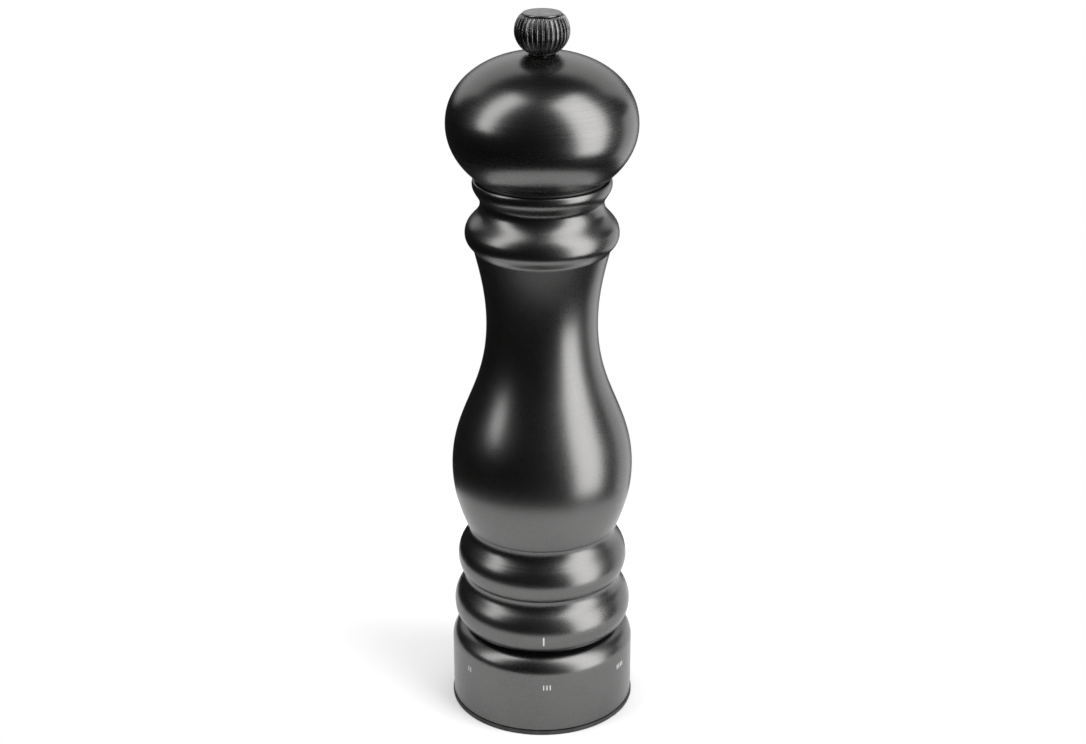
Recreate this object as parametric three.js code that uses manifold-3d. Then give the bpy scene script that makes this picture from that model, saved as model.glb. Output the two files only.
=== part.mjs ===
// Turned-column pepper mill with a twist head, a screw-on knob and a six-step grind ring.
// Millimetres, +Z up, origin at the middle of the foot, front towards -Y. All pieces share the Z axis.

import * as THREE from 'three';
import { mergeVertices } from 'three/addons/utils/BufferGeometryUtils.js';
import Module from 'manifold-3d';

const wasm = await Module();
wasm.setup();

// ---------- driving dimensions ----------

const HEIGHT = 219.3;
const GAP = 0.3; // clearance between neighbouring pieces
const SHEET = 1.0; // wall of the metal skins
const LARGE = 30; // facets round the large turned pieces
const MEDIUM = 24;
const SMALL = 10;

const FOOT = { radius: 28.5, inner: 24.8, thickness: 1.2 };
const TONGUE = { inner: 25.4, outer: 26.2, height: 1.8 }; // rib of the foot, in the ring's groove
const RING = { radius: 28.2, bottom: 1.5, top: 26.4, shoulder: 6.2, lastAngle: 80 };
const RING_CORE = { seat: 22.5, step: 10.8, relief: 23.8, threadTop: 8.4, firstAngle: 12, lastAngle: 78 };
const BODY = { bottom: 28, top: 170.7 };
// Widest and narrowest places of the body, from the lower bead up: [radius, height].
const BELLY = [27.5, 80];
const WAIST = [16.65, 126.5];
const COLLAR_FOOT = [20.15, 149.2];
const COLLAR = [22.7, 154.4];
const THROAT = [18.2, 163.6];
const LIP = [20.45, 169.4];
const CORE = { inner: 14, outer: 15.3, flange: 22.2, flangeTop: 31, top: 168 };
const MOUTH = { inner: 13.8, sleeve: 16.7, sleeveBottom: 160, flange: 18.9, bottom: 168.8, top: 171.4 };
const HOUSING = { throat: 12.6, bottom: 26.2, top: 27.7 };
const RECESS = { radius: 23.3, bottom: 26.7, top: 28.3, rim: 24.3 }; // dark gap between body and ring
const LAND = { inner: 10.2, outer: 14, width: 7 }; // what the guide bar's ends rest on
const SKIRT = { inner: 20.6, outer: 22.2, bottom: 1.8, clipSeat: 21.3 };
const HOLDER = { inner: 14.3, outer: 15.5, bottom: 8, flange: 20.3, under: 25.1, lip: 13, lipBottom: 24.3 };
const CLIP = { inner: 21.6, outer: 23.4, bottom: 9.5, top: 10.5 };
const BURR = { outer: 14, bottom: 8.5, top: 24, teeth: 12, coneBottom: 7.6, coneTop: 20.7 };
const BRIDGE = { arms: 3, width: 4.8, bottom: 4.4, top: 6.6, hub: 5.2, pad: 3 };
const LIFT_THREAD = { lead: 1.8, crest: 24, root: 23, clearance: 0.3, facets: 30 };
const ROD_THREAD = { lead: 0.8, crest: 2.5, root: 2.1, facets: 10, bottom: 205 };
const SHAFT = { side: 6, bottom: 10.2, shoulder: 200, top: 213.8, groove: 3.4 };
const SNAP_RING = { outer: 6.2, thickness: 0.8, lower: 25.9, upper: 29.9 };
const THRUST_WASHER = { inner: 4.5, outer: 6.2, bottom: 26.9, top: 27.7 };
const SPRING = { radius: 5.5, wire: 0.5, top: 25.6, turns: 2.5, steps: 40 };
const SQUARE_HOLE = SHAFT.side + 0.4;
const HEAD = { bottom: 171.9, middle: 187, radius: 27.85, rise: 20.6, drop: 21.7, flat: 5 };
const HEAD_POWER = 2.12; // the dome is slightly squarer than an ellipse
const HEAD_CORE = { inset: 1.5, rodHole: 3, roof: 201.5 };
const SPIGOT = { radius: 13.4, bottom: 162.1, bore: 4.6 };
const PLATE = { radius: 11.5, bottom: 160.3, top: 161.8, screws: 8.4, hole: 1.3 };
const PLATE_SCREW = { head: 1.8, headHeight: 1.2, shank: 1, tip: 168.6 };
const KNOB = { bottom: 208.2, top: 218.6, ribs: 32, groove: 0.35, bore: 4.5, boreTop: 215.9 };
const KNOB_CAP = { radius: 5.6, stem: 3, stemBottom: 216.5 };
const KNOB_WASHER = { inner: 2.9, outer: 3.9, bottom: 207.6, top: 207.9 };
const KNOB_NUT = { radius: 4.2, bottom: 208.8, top: 215.6 };
const HOUSING_SCREWS = { circle: 18.05, hole: 1.7, boss: 3.2, bossTop: 40 };
const HOUSING_SCREW = { head: 2, headHeight: 2.1, shank: 1.3, tip: 37 };
const GUIDE = { bottom: 28, top: 29.6, reach: 13.2, eye: 6, screws: 11.9, hole: 0.95 };
const GUIDE_SCREW = { head: 1.5, headHeight: 1.2, shank: 0.65, length: 4.6 };
const DETENT = { bottom: 14, top: 18, depth: 1.1, window: 4.6, leaf: 0.4, spread: 28 };
const CLICKS = { count: 6, first: -112, step: 56 }; // degrees

// ---------- geometry helpers ----------

const rad = THREE.MathUtils.degToRad;
const at = (r, z) => new THREE.Vector2(r, z);

// A closed outline of [radius, height] points, turned round the Z axis.
function turned(outline, facets = LARGE) {
  const points = outline.map((p) => (p.isVector2 ? p.clone() : at(...p)));
  if (THREE.ShapeUtils.isClockWise(points)) points.reverse();
  if (points[0].x > 0) points.push(points[0].clone());
  return new THREE.LatheGeometry(points, facets).rotateX(Math.PI / 2);
}

// Points along an arc of the outline, in degrees, counted from straight out.
function arc(r, z, radius, from, to, steps) {
  const curve = new THREE.EllipseCurve(r, z, radius, radius, rad(from), rad(to), to < from);
  return curve.getPoints(steps);
}

function spline(points, steps) {
  return new THREE.SplineCurve(points.map((p) => at(...p))).getPoints(steps);
}

// Points along a Bezier curve of the outline, without its start, which the last stretch has made.
function bezier(start, leaving, arriving, end, steps) {
  const points = [start, leaving, arriving, end].map((p) => at(...p));
  return new THREE.CubicBezierCurve(...points).getPoints(steps).slice(1);
}

function disc(radius, bottom, top, facets = SMALL, inner = 0) {
  return turned([[inner, bottom], [radius, bottom], [radius, top], [inner, top]], facets);
}

function slab(shape, bottom, top, curveSegments = SMALL) {
  const options = { depth: top - bottom, bevelEnabled: false, curveSegments };
  return new THREE.ExtrudeGeometry(shape, options).translate(0, 0, bottom);
}

function block(x0, x1, y0, y1, z0, z1) {
  const box = new THREE.BoxGeometry(x1 - x0, y1 - y0, z1 - z0);
  return box.translate((x0 + x1) / 2, (y0 + y1) / 2, (z0 + z1) / 2);
}

function centredBlock(length, width, bottom, top) {
  return block(-length / 2, length / 2, -width / 2, width / 2, bottom, top);
}

// The same geometry at each angle, after moving it out along X.
function around(geometry, angles, out = 0) {
  return angles.map((angle) => geometry.clone().translate(out, 0, 0).rotateZ(rad(angle)));
}

function evenAngles(count, first = 0, step = 360 / count) {
  return Array.from({ length: count }, (_, i) => first + step * i);
}

function toSolid(geometry) {
  const bare = new THREE.BufferGeometry();
  bare.setAttribute('position', geometry.getAttribute('position').clone());
  bare.setIndex(geometry.getIndex());
  const merged = mergeVertices(bare, 1e-4);
  const vertProperties = merged.getAttribute('position').array;
  const triVerts = new Uint32Array(merged.getIndex().array);
  return new wasm.Manifold(new wasm.Mesh({ numProp: 3, vertProperties, triVerts }));
}

function toGeometry(solid) {
  const mesh = solid.getMesh();
  const geometry = new THREE.BufferGeometry();
  geometry.setAttribute('position', new THREE.BufferAttribute(mesh.vertProperties, 3));
  geometry.setIndex(new THREE.BufferAttribute(mesh.triVerts, 1));
  return geometry;
}

function join(...geometries) {
  return toGeometry(geometries.map(toSolid).reduce((all, next) => all.add(next)));
}

function cut(base, ...tools) {
  return toGeometry(tools.map(toSolid).reduce((rest, tool) => rest.subtract(tool), toSolid(base)));
}

function common(one, other) {
  return toGeometry(toSolid(one).intersect(toSolid(other)));
}

// A solid screw whose surface zigzags between crest and root. hand is 1 for a right-hand
// thread and -1 for a left-hand one. Its crests pass the same points at any length, so that
// a nut and its screw mesh, and its ends are cones that the caller trims off.
function screwSolid({ lead, crest, root, facets }, bottom, top, hand) {
  const start = lead * (Math.floor(bottom / lead) - 1);
  const rows = 2 * Math.ceil((top - start) / lead) + 2;
  const positions = [];
  for (let row = 0; row <= rows; row++) {
    for (let i = 0; i < facets; i++) {
      const angle = (hand * 2 * Math.PI * i) / facets;
      const radius = row % 2 ? root : crest;
      const height = start + lead * (row / 2 + i / facets);
      positions.push(radius * Math.cos(angle), radius * Math.sin(angle), height);
    }
  }
  const low = positions.length / 3;
  positions.push(0, 0, start - lead, 0, 0, start + lead * (rows / 2 + 2));
  const index = [];
  const face = (a, b, c) => index.push(...(hand > 0 ? [a, b, c] : [a, c, b]));
  const vertex = (row, i) => (i < facets ? row * facets + i : (row + 2) * facets);
  for (let i = 0; i < facets; i++) {
    const last = i === facets - 1 ? rows - 2 : rows;
    for (let row = 0; row < last; row++) {
      const corners = [vertex(row, i), vertex(row, i + 1), vertex(row + 1, i + 1), vertex(row + 1, i)];
      face(corners[0], corners[1], corners[2]);
      face(corners[0], corners[2], corners[3]);
    }
  }
  const firstRow = Array.from({ length: facets }, (_, i) => vertex(0, i));
  const lastRow = Array.from({ length: facets }, (_, i) => vertex(rows, i));
  const lowLoop = [...firstRow, vertex(2, 0), vertex(1, 0)];
  const highLoop = [...lastRow, vertex(rows - 1, facets - 1), vertex(rows - 2, facets - 1)];
  lowLoop.forEach((v, k) => face(low, lowLoop[(k + 1) % lowLoop.length], v));
  highLoop.forEach((v, k) => face(low + 1, v, highLoop[(k + 1) % highLoop.length]));
  const geometry = new THREE.BufferGeometry();
  geometry.setAttribute('position', new THREE.Float32BufferAttribute(positions, 3));
  geometry.setIndex(index);
  return geometry;
}

// Moves each vertex in or out by what change(angle, height, radius) returns.
function carved(geometry, change) {
  const position = geometry.getAttribute('position');
  for (let i = 0; i < position.count; i++) {
    const x = position.getX(i);
    const y = position.getY(i);
    const radius = Math.hypot(x, y);
    if (radius < 1e-6) continue;
    const k = 1 + change(Math.atan2(y, x), position.getZ(i), radius) / radius;
    position.setXY(i, x * k, y * k);
  }
  return geometry;
}

// A flat part-ring from one angle to another, in degrees.
function arcShape(inner, outer, from, to) {
  const shape = new THREE.Shape();
  shape.absarc(0, 0, outer, rad(from), rad(to), false);
  shape.absarc(0, 0, inner, rad(to), rad(from), true);
  return shape;
}

// A cross-head screw pointing up: head from headBottom, then the shank to the tip.
function screw(headRadius, headBottom, headTop, shank, tip) {
  const crown = (headTop - headBottom) * 0.4;
  const outline = [
    [0, headBottom],
    [headRadius * 0.7, headBottom],
    [headRadius, headBottom + crown],
    [headRadius, headTop],
    [shank, headTop],
    [shank, tip - shank],
    [0, tip],
  ];
  const slot = headRadius * 1.1;
  const depth = headBottom + (headTop - headBottom) * 0.55;
  const recess = join(
    centredBlock(slot, slot / 4, headBottom - 1, depth),
    centredBlock(slot / 4, slot, headBottom - 1, depth),
  );
  return cut(turned(outline, SMALL), recess);
}

function housingScrew() {
  const { head, headHeight, shank, tip } = HOUSING_SCREW;
  const headTop = HOLDER.under - GAP;
  return screw(head, headTop - headHeight, headTop, shank, tip);
}

function guideBarScrew() {
  const { head, headHeight, shank, length } = GUIDE_SCREW;
  const upright = screw(head, -headHeight, 0, shank, length);
  return upright.rotateX(Math.PI).translate(0, 0, GUIDE.top + GAP);
}

function plateScrew() {
  const { head, headHeight, shank, tip } = PLATE_SCREW;
  const headTop = PLATE.bottom - GAP;
  return screw(head, headTop - headHeight, headTop, shank, tip);
}

// ---------- outlines shared by neighbouring pieces ----------

// Outside of the body, from the lower edge up: two beads, the belly, the neck and the collar.
function bodyOutside() {
  const beadTop = [23.2, 60.9];
  return [
    ...arc(17.7, 33.4, 9.7, -33.8, 40, 4),
    ...spline([[24.1, 41.2], [23.7, 42.6], [23.7, 44.1]], 2),
    ...arc(16.72, 49.5, 9.43, -32, 36, 4),
    ...spline([[23.2, 57], [22.6, 58.6], [22.5, 60.6]], 2),
    at(...beadTop),
    ...bezier(beadTop, [25, 65.2], [BELLY[0], 71.5], BELLY, 4),
    ...bezier(BELLY, [BELLY[0], 98], [WAIST[0], 104.5], WAIST, 7),
    ...bezier(WAIST, [WAIST[0], 135], [18.4, 142.5], COLLAR_FOOT, 4),
    ...bezier(COLLAR_FOOT, [20.5, 150.6], [COLLAR[0], 151.4], COLLAR, 3),
    ...bezier(COLLAR, [COLLAR[0], 159], [THROAT[0], 159.6], THROAT, 4),
    ...bezier(THROAT, [THROAT[0], 165.8], [LIP[0], 167], LIP, 3),
    at(20.1, BODY.top),
  ];
}

// Inside of the body skin, from the top down. Each point lies about one sheet behind the outside.
const BODY_INSIDE = [
  [19.2, BODY.top], [19.2, 168.6], [17.1, 164.8], [17.1, 162.6], [21.2, 154], [18.7, 148.4],
  [16.2, 135], [WAIST[0] - SHEET, WAIST[1]], [16.3, 117], [20.5, 102.5], [25.4, 89], [26.4, 80],
  [25.2, 71], [21.3, 60.6], [21.3, 58], [24.9, 50], [22.6, 43.6], [26.1, 34], [24.7, BODY.bottom],
];

// One quarter of the head's outline from its widest point. inset moves it inwards.
function headQuarter(inset, height, power, lastRadius, steps) {
  const radius = HEAD.radius - inset;
  const rise = Math.abs(height) - inset;
  const end = Math.acos((lastRadius / radius) ** (power / 2));
  return Array.from({ length: steps + 1 }, (_, i) => {
    const t = (end * i) / steps;
    const z = rise * Math.sin(t) ** (2 / power);
    return at(radius * Math.cos(t) ** (2 / power), HEAD.middle + Math.sign(height) * z);
  });
}

function headLower(inset, steps) {
  const depth = (HEAD.middle - HEAD.bottom) / (HEAD.drop - inset);
  const lastRadius = (HEAD.radius - inset) * Math.sqrt(1 - depth * depth);
  return headQuarter(inset, -HEAD.drop, 2, lastRadius, steps).reverse();
}

// ---------- body and what is fixed in it ----------

function bodyShell() {
  return turned([...bodyOutside(), ...BODY_INSIDE]);
}

function bodyCore() {
  const tube = turned([
    [CORE.inner, BODY.bottom],
    [CORE.flange, BODY.bottom],
    [CORE.flange, CORE.flangeTop],
    [CORE.outer, CORE.flangeTop],
    [CORE.outer, CORE.top],
    [CORE.inner, CORE.top],
  ], MEDIUM);
  const { circle, hole, boss, bossTop } = HOUSING_SCREWS;
  const angles = evenAngles(3, 30);
  const bosses = around(disc(boss, CORE.flangeTop - SHEET, bossTop), angles, circle);
  const holes = around(disc(hole - 0.1, BODY.bottom - 1, bossTop - 1.5), angles, circle);
  return cut(join(tube, ...bosses), ...holes);
}

function mouthRing() {
  const { inner, sleeve, sleeveBottom, flange, bottom, top } = MOUTH;
  const edge = 0.4;
  return turned([
    [inner, bottom], [CORE.outer + GAP, bottom], [CORE.outer + GAP, sleeveBottom],
    [sleeve, sleeveBottom], [sleeve, bottom], [flange, bottom], [flange, top - edge],
    [flange - edge, top], [inner, top],
  ], MEDIUM);
}

// Flange, skirt and rim. The throat is wide in front and behind, for the peppercorns.
function mechanismHousing() {
  const { throat, bottom, top } = HOUSING;
  const { inner, outer, clipSeat } = SKIRT;
  const turnedPart = turned([
    [LAND.inner, bottom],
    [inner, bottom],
    [inner, SKIRT.bottom],
    [outer, SKIRT.bottom],
    [outer, CLIP.bottom - GAP],
    [clipSeat, CLIP.bottom - GAP],
    [clipSeat, CLIP.top + GAP],
    [outer, CLIP.top + GAP],
    [outer, RECESS.bottom],
    [RECESS.radius, RECESS.bottom],
    [RECESS.radius, RECESS.top],
    [RECESS.rim, RECESS.top],
    [RECESS.rim, CORE.flangeTop],
    [CORE.flange + GAP, CORE.flangeTop],
    [CORE.flange + GAP, top],
    [LAND.inner, top],
  ], MEDIUM);
  const lands = centredBlock(2 * LAND.outer, LAND.width, bottom - 2, top + 2);
  const widening = cut(disc(throat, bottom - 1, top + 1, MEDIUM), lands);
  const slotHalf = BRIDGE.width / 2 + GAP;
  const slot = block(inner - 3, outer + 2, -slotHalf, slotHalf, 0, BRIDGE.top + 1.6);
  const windowHalf = DETENT.window / 2;
  const window = block(
    inner - 3, outer + 2, -windowHalf, windowHalf, DETENT.bottom - 0.5, DETENT.top + 0.5,
  );
  const { circle, hole } = HOUSING_SCREWS;
  return cut(
    turnedPart,
    widening,
    ...around(slot, evenAngles(BRIDGE.arms, 90)),
    window,
    ...around(disc(hole, bottom - 1, top + 1), evenAngles(3, 30), circle),
    ...around(disc(GUIDE.hole, bottom - 1, top + 1), [0, 180], GUIDE.screws),
  );
}

// A cup round the fixed burr. Its flange lies under the housing's, held by the same screws.
function burrHolder() {
  const { inner, outer, bottom, flange, under, lip, lipBottom } = HOLDER;
  const flangeTop = HOUSING.bottom - GAP;
  const cup = turned([
    [inner, bottom],
    [outer, bottom],
    [outer, under],
    [flange, under],
    [flange, flangeTop],
    [lip, flangeTop],
    [lip, lipBottom],
    [inner, lipBottom],
  ], MEDIUM);
  const { circle, hole } = HOUSING_SCREWS;
  return cut(cup, ...around(disc(hole, lipBottom, HOUSING.bottom + 1), evenAngles(3, 30), circle));
}

function retainingClip() {
  return slab(arcShape(CLIP.inner, CLIP.outer, -75, 255), CLIP.bottom, CLIP.top, 18);
}

// Toothed wave: 0 at the crests and -1 at the roots, leaning with height as the teeth spiral.
function toothWave(angle, height, teeth, twist) {
  const phase = (teeth * (angle + twist * height)) / (2 * Math.PI);
  return -2 * Math.abs(phase - Math.floor(phase) - 0.5);
}

function burrRing() {
  const plain = turned([
    [BURR.outer, BURR.bottom], [BURR.outer, BURR.top], [12.6, BURR.top], [11.9, 21], [10.8, 17.5],
    [9.9, 14], [10.6, 11], [11.2, BURR.bottom],
  ], LARGE);
  return carved(plain, (angle, height, radius) =>
    radius > 13 ? 0 : -0.5 * toothWave(angle, height, BURR.teeth, 0.03));
}

function burrCone() {
  const plain = turned([
    [0, BURR.coneBottom - 0.7], [1.2, BURR.coneBottom - 0.5], [1.6, BURR.coneBottom],
    [10, BURR.coneBottom], [10.55, 8.4], [9.9, 11.2], [9.2, 14], [8.2, 16], [7, 18.6],
    [6.2, BURR.coneTop], [0, BURR.coneTop],
  ], LARGE);
  const depth = (z) => (z > 14.5 ? 1 : 0.5);
  const toothed = carved(plain, (angle, height, radius) =>
    radius < 5 ? 0 : depth(height) * toothWave(angle, height, BURR.teeth, -0.05));
  return cut(toothed, centredBlock(SQUARE_HOLE, SQUARE_HOLE, 9, 30));
}

function guideBar() {
  const { bottom, top, reach, eye, hole } = GUIDE;
  const bar = centredBlock(2 * reach, LAND.width, bottom, top);
  return cut(
    join(bar, disc(eye, bottom, top, MEDIUM)),
    disc(SPIGOT.bore, bottom - 1, top + 1, MEDIUM),
    ...around(disc(hole, bottom - 1, top + 1), [0, 180], GUIDE.screws),
  );
}

// A leaf spring bent round the skirt's inside, with a nose that clicks into the ring's grooves.
function detentSpring() {
  const shape = new THREE.Shape();
  const face = SKIRT.inner - GAP;
  const back = face - DETENT.leaf;
  const nose = RING_CORE.seat + DETENT.depth - GAP;
  const end = rad(DETENT.spread);
  const bendInside = rad(4);
  const bendOutside = rad(5.5);
  const noseHalf = 0.35;
  shape.absarc(0, 0, back, end, bendInside, true);
  shape.lineTo(nose - DETENT.leaf - 0.1, 0);
  shape.absarc(0, 0, back, -bendInside, -end, true);
  shape.absarc(0, 0, face, -end, -bendOutside, false);
  shape.lineTo(nose, -noseHalf);
  shape.lineTo(nose, noseHalf);
  shape.absarc(0, 0, face, bendOutside, end, false);
  return slab(shape, DETENT.bottom, DETENT.top, 6);
}

// ---------- drive shaft ----------

function driveShaft() {
  const square = centredBlock(SHAFT.side, SHAFT.side, SHAFT.bottom, SHAFT.shoulder);
  const neck = disc(ROD_THREAD.root, SHAFT.shoulder - 1, ROD_THREAD.bottom + 1);
  const blank = disc(ROD_THREAD.crest + 1, ROD_THREAD.bottom, SHAFT.top);
  const thread = common(screwSolid(ROD_THREAD, ROD_THREAD.bottom, SHAFT.top, 1), blank);
  const groove = (ring) =>
    disc(SHAFT.side, ring - GAP, ring + SNAP_RING.thickness + GAP, MEDIUM, SHAFT.groove);
  return cut(join(square, neck, thread), groove(SNAP_RING.lower), groove(SNAP_RING.upper));
}

function shaftClip(bottom) {
  const shape = arcShape(SHAFT.groove + GAP, SNAP_RING.outer, -60, 240);
  return slab(shape, bottom, bottom + SNAP_RING.thickness);
}

function thrustWasher() {
  const { inner, outer, bottom, top } = THRUST_WASHER;
  return disc(outer, bottom, top, MEDIUM, inner);
}

class Helix extends THREE.Curve {
  constructor(radius, bottom, top, turns) {
    super();
    Object.assign(this, { radius, bottom, top, turns });
  }

  getPoint(t) {
    const angle = 2 * Math.PI * this.turns * t;
    const z = this.bottom + (this.top - this.bottom) * t;
    return new THREE.Vector3(this.radius * Math.cos(angle), this.radius * Math.sin(angle), z);
  }
}

function burrSpring() {
  const { radius, wire, top, turns, steps } = SPRING;
  const section = new THREE.Shape().absarc(0, 0, wire, 0, 2 * Math.PI, false);
  const path = new Helix(radius, BURR.coneTop + GAP + wire, top - wire, turns);
  return new THREE.ExtrudeGeometry(section, { steps, extrudePath: path, curveSegments: 3 });
}

// ---------- grind adjuster ----------

function adjusterBridge() {
  const { arms, width, bottom, top, hub, pad } = BRIDGE;
  const arm = block(0, 30, -width / 2, width / 2, bottom, top);
  const spider = join(disc(hub, bottom - 0.6, top, MEDIUM), ...around(arm, evenAngles(arms, 90)));
  const thread = screwSolid(LIFT_THREAD, bottom - 2, top + 2, -1);
  return cut(common(spider, thread), disc(pad + GAP, top - 1.2, top + 1, MEDIUM));
}

function bridgePad() {
  return disc(BRIDGE.pad, BRIDGE.top - 0.9, BRIDGE.top, MEDIUM);
}

function adjusterShell() {
  const { radius, bottom, top, shoulder, lastAngle } = RING;
  const centre = [radius - shoulder, top - shoulder];
  return turned([
    [radius - SHEET, bottom],
    [radius, bottom],
    ...arc(...centre, shoulder, 0, lastAngle, 5),
    ...arc(...centre, shoulder - SHEET, lastAngle, 0, 4),
  ]);
}

function adjusterCore() {
  const outer = RING.radius - SHEET - GAP;
  const { clearance, crest, root } = LIFT_THREAD;
  const { seat, step, relief, threadTop, firstAngle, lastAngle } = RING_CORE;
  const centre = [RING.radius - RING.shoulder, RING.top - RING.shoulder];
  const shoulder = arc(...centre, RING.shoulder - SHEET - 2 * GAP, firstAngle, lastAngle, 3);
  const grooveTop = RING.bottom + TONGUE.height;
  const blank = turned([
    [root, RING.bottom],
    [TONGUE.inner - GAP, RING.bottom],
    [TONGUE.inner - GAP, grooveTop],
    [TONGUE.outer + GAP, grooveTop],
    [TONGUE.outer + GAP, RING.bottom],
    [outer, RING.bottom],
    [outer, centre[1]],
    ...shoulder,
    [seat, shoulder.at(-1).y],
    [seat, step],
    [relief, step],
    [relief, threadTop],
    [root, threadTop],
  ]);
  const bore = { ...LIFT_THREAD, crest: crest + clearance, root: root + clearance };
  const trim = disc(RING.radius, 0, threadTop + GAP / 2, LARGE);
  const thread = common(screwSolid(bore, 0, threadTop + GAP, -1), trim);
  const groove = disc(DETENT.depth, DETENT.bottom - 2, DETENT.top + 2, SMALL);
  const angles = evenAngles(CLICKS.count, CLICKS.first, CLICKS.step);
  return cut(blank, thread, ...around(groove, angles, seat));
}

function footRing() {
  const { radius, inner, thickness } = FOOT;
  const tongueTop = thickness + TONGUE.height;
  const edge = 0.2;
  return turned([
    [inner, 0], [radius - edge, 0], [radius, edge], [radius, thickness],
    [TONGUE.outer, thickness], [TONGUE.outer, tongueTop], [TONGUE.inner, tongueTop],
    [TONGUE.inner, thickness], [inner, thickness],
  ]);
}

// ---------- head ----------

function headShell() {
  const top = HEAD.middle + HEAD.rise - 0.3;
  const hole = 3.2;
  const outside = [...headLower(0, 5), ...headQuarter(0, HEAD.rise, HEAD_POWER, HEAD.flat, 7).slice(1)];
  const inside = [...headLower(SHEET, 3), ...headQuarter(SHEET, HEAD.rise, HEAD_POWER, 6, 5).slice(1)];
  return turned([...outside, [hole, top], [hole, top - SHEET], ...inside.reverse()]);
}

function headCore() {
  const { inset, rodHole, roof } = HEAD_CORE;
  const { radius, bottom, bore } = SPIGOT;
  const outside = [...headLower(inset, 3), ...headQuarter(inset, HEAD.rise, HEAD_POWER, 7, 4).slice(1)];
  const core = turned([
    [bore, bottom],
    [radius, bottom],
    [radius, HEAD.bottom],
    ...outside,
    [rodHole, outside.at(-1).y],
    [rodHole, roof],
    [bore, roof],
  ], MEDIUM);
  const screwHole = disc(PLATE.hole, PLATE.bottom, PLATE_SCREW.tip + 1);
  return cut(core, ...around(screwHole, evenAngles(3, 90), PLATE.screws));
}

function drivePlate() {
  const plate = disc(PLATE.radius, PLATE.bottom, PLATE.top, MEDIUM);
  const hole = centredBlock(SQUARE_HOLE, SQUARE_HOLE, PLATE.bottom - 1, PLATE.top + 1);
  const screwHole = disc(PLATE.hole, PLATE.bottom - 1, PLATE.top + 1);
  const holes = around(screwHole, evenAngles(3, 90), PLATE.screws);
  return cut(plate, hole, ...holes);
}

// ---------- knob ----------

function knobWasher() {
  const { inner, outer, bottom, top } = KNOB_WASHER;
  return disc(outer, bottom, top, MEDIUM, inner);
}

// The outside has a groove between each two ribs, fading out towards both ends.
function knobGrip() {
  const { bottom, top, ribs, groove, bore, boreTop } = KNOB;
  const stemHole = KNOB_CAP.stem + GAP;
  const smooth = 6.5; // no grooves where the outline is nearer the axis than this
  const grip = turned([
    [bore, bottom], [4.9, bottom], [6.5, bottom + 1.3], [7.6, bottom + 3.3], [7.95, bottom + 5.3],
    [7.6, bottom + 8.1], [6.8, bottom + 9.6], [6, top], [stemHole, top], [stemHole, boreTop],
    [bore, boreTop],
  ], 2 * ribs);
  return carved(grip, (angle, height, radius) => {
    const between = Math.round((angle * ribs) / Math.PI) % 2 !== 0;
    return between && radius > smooth ? -groove : 0;
  });
}

function knobCap() {
  const { radius, stem, stemBottom } = KNOB_CAP;
  const rim = KNOB.top + GAP;
  return turned([
    [0, stemBottom], [stem, stemBottom], [stem, rim], [radius, rim], [radius, HEIGHT - 0.25],
    [radius - 0.4, HEIGHT - 0.08], [radius - 2.6, HEIGHT], [0, HEIGHT],
  ], MEDIUM);
}

function knobNut() {
  const { radius, bottom, top } = KNOB_NUT;
  return disc(radius, bottom, top, MEDIUM, ROD_THREAD.crest + GAP / 2);
}

// ---------- finishes ----------

function finish(color, roughness, metalness) {
  return () => new THREE.MeshStandardMaterial({ color, roughness, metalness });
}

const carbonMetal = finish(0x656463, 0.3, 1);
const blackPlastic = finish(0x151515, 0.5, 0);
const greyPlastic = finish(0x2b2b2c, 0.6, 0);
const rubber = finish(0x101010, 0.85, 0);
const hardSteel = finish(0x6d6e70, 0.45, 1);
const brightSteel = finish(0xb4b5b7, 0.3, 1);
const springSteel = finish(0x9a9b9e, 0.35, 1);
const knobMetal = finish(0x1d1d1e, 0.35, 1);
const brass = finish(0xb08d4a, 0.35, 1);

// ---------- assembly ----------

function piece(name, geometry, material) {
  const flat = geometry.index ? geometry.toNonIndexed() : geometry;
  flat.computeVertexNormals();
  const mesh = new THREE.Mesh(flat, material());
  mesh.name = name;
  return mesh;
}

// The same screw on a circle round the Z axis, numbered from 1.
function screws(name, geometry, angles, circle, material) {
  return angles.map((angle, i) => {
    const mesh = piece(`${name}_${i + 1}`, geometry, material);
    mesh.position.set(circle * Math.cos(rad(angle)), circle * Math.sin(rad(angle)), 0);
    return mesh;
  });
}

function group(...meshes) {
  return new THREE.Group().add(...meshes);
}

const body = group(
  piece('body_shell', bodyShell(), carbonMetal),
  piece('body_core', bodyCore(), greyPlastic),
  piece('mouth_ring', mouthRing(), blackPlastic),
  piece('mechanism_housing', mechanismHousing(), blackPlastic),
  piece('burr_holder', burrHolder(), blackPlastic),
  ...screws('housing_screw', housingScrew(), evenAngles(3, 30), HOUSING_SCREWS.circle, brightSteel),
  piece('retaining_clip', retainingClip(), springSteel),
  piece('burr_ring', burrRing(), hardSteel),
  piece('guide_bar', guideBar(), brightSteel),
  ...screws('guide_bar_screw', guideBarScrew(), [0, 180], GUIDE.screws, brightSteel),
  piece('detent_spring', detentSpring(), springSteel),
);

const shaft = group(
  piece('drive_shaft', driveShaft(), brightSteel),
  piece('shaft_clip_lower', shaftClip(SNAP_RING.lower), springSteel),
  piece('thrust_washer', thrustWasher(), brass),
  piece('shaft_clip_upper', shaftClip(SNAP_RING.upper), springSteel),
  piece('burr_spring', burrSpring(), springSteel),
  piece('burr_cone', burrCone(), hardSteel),
);

const adjuster = group(
  piece('adjuster_shell', adjusterShell(), carbonMetal),
  piece('adjuster_core', adjusterCore(), blackPlastic),
  piece('foot_ring', footRing(), rubber),
  piece('adjuster_bridge', adjusterBridge(), brightSteel),
  piece('bridge_pad', bridgePad(), brass),
);

const head = group(
  piece('head_shell', headShell(), carbonMetal),
  piece('head_core', headCore(), greyPlastic),
  piece('drive_plate', drivePlate(), brightSteel),
  ...screws('drive_plate_screw', plateScrew(), evenAngles(3, 90), PLATE.screws, brightSteel),
);

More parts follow.
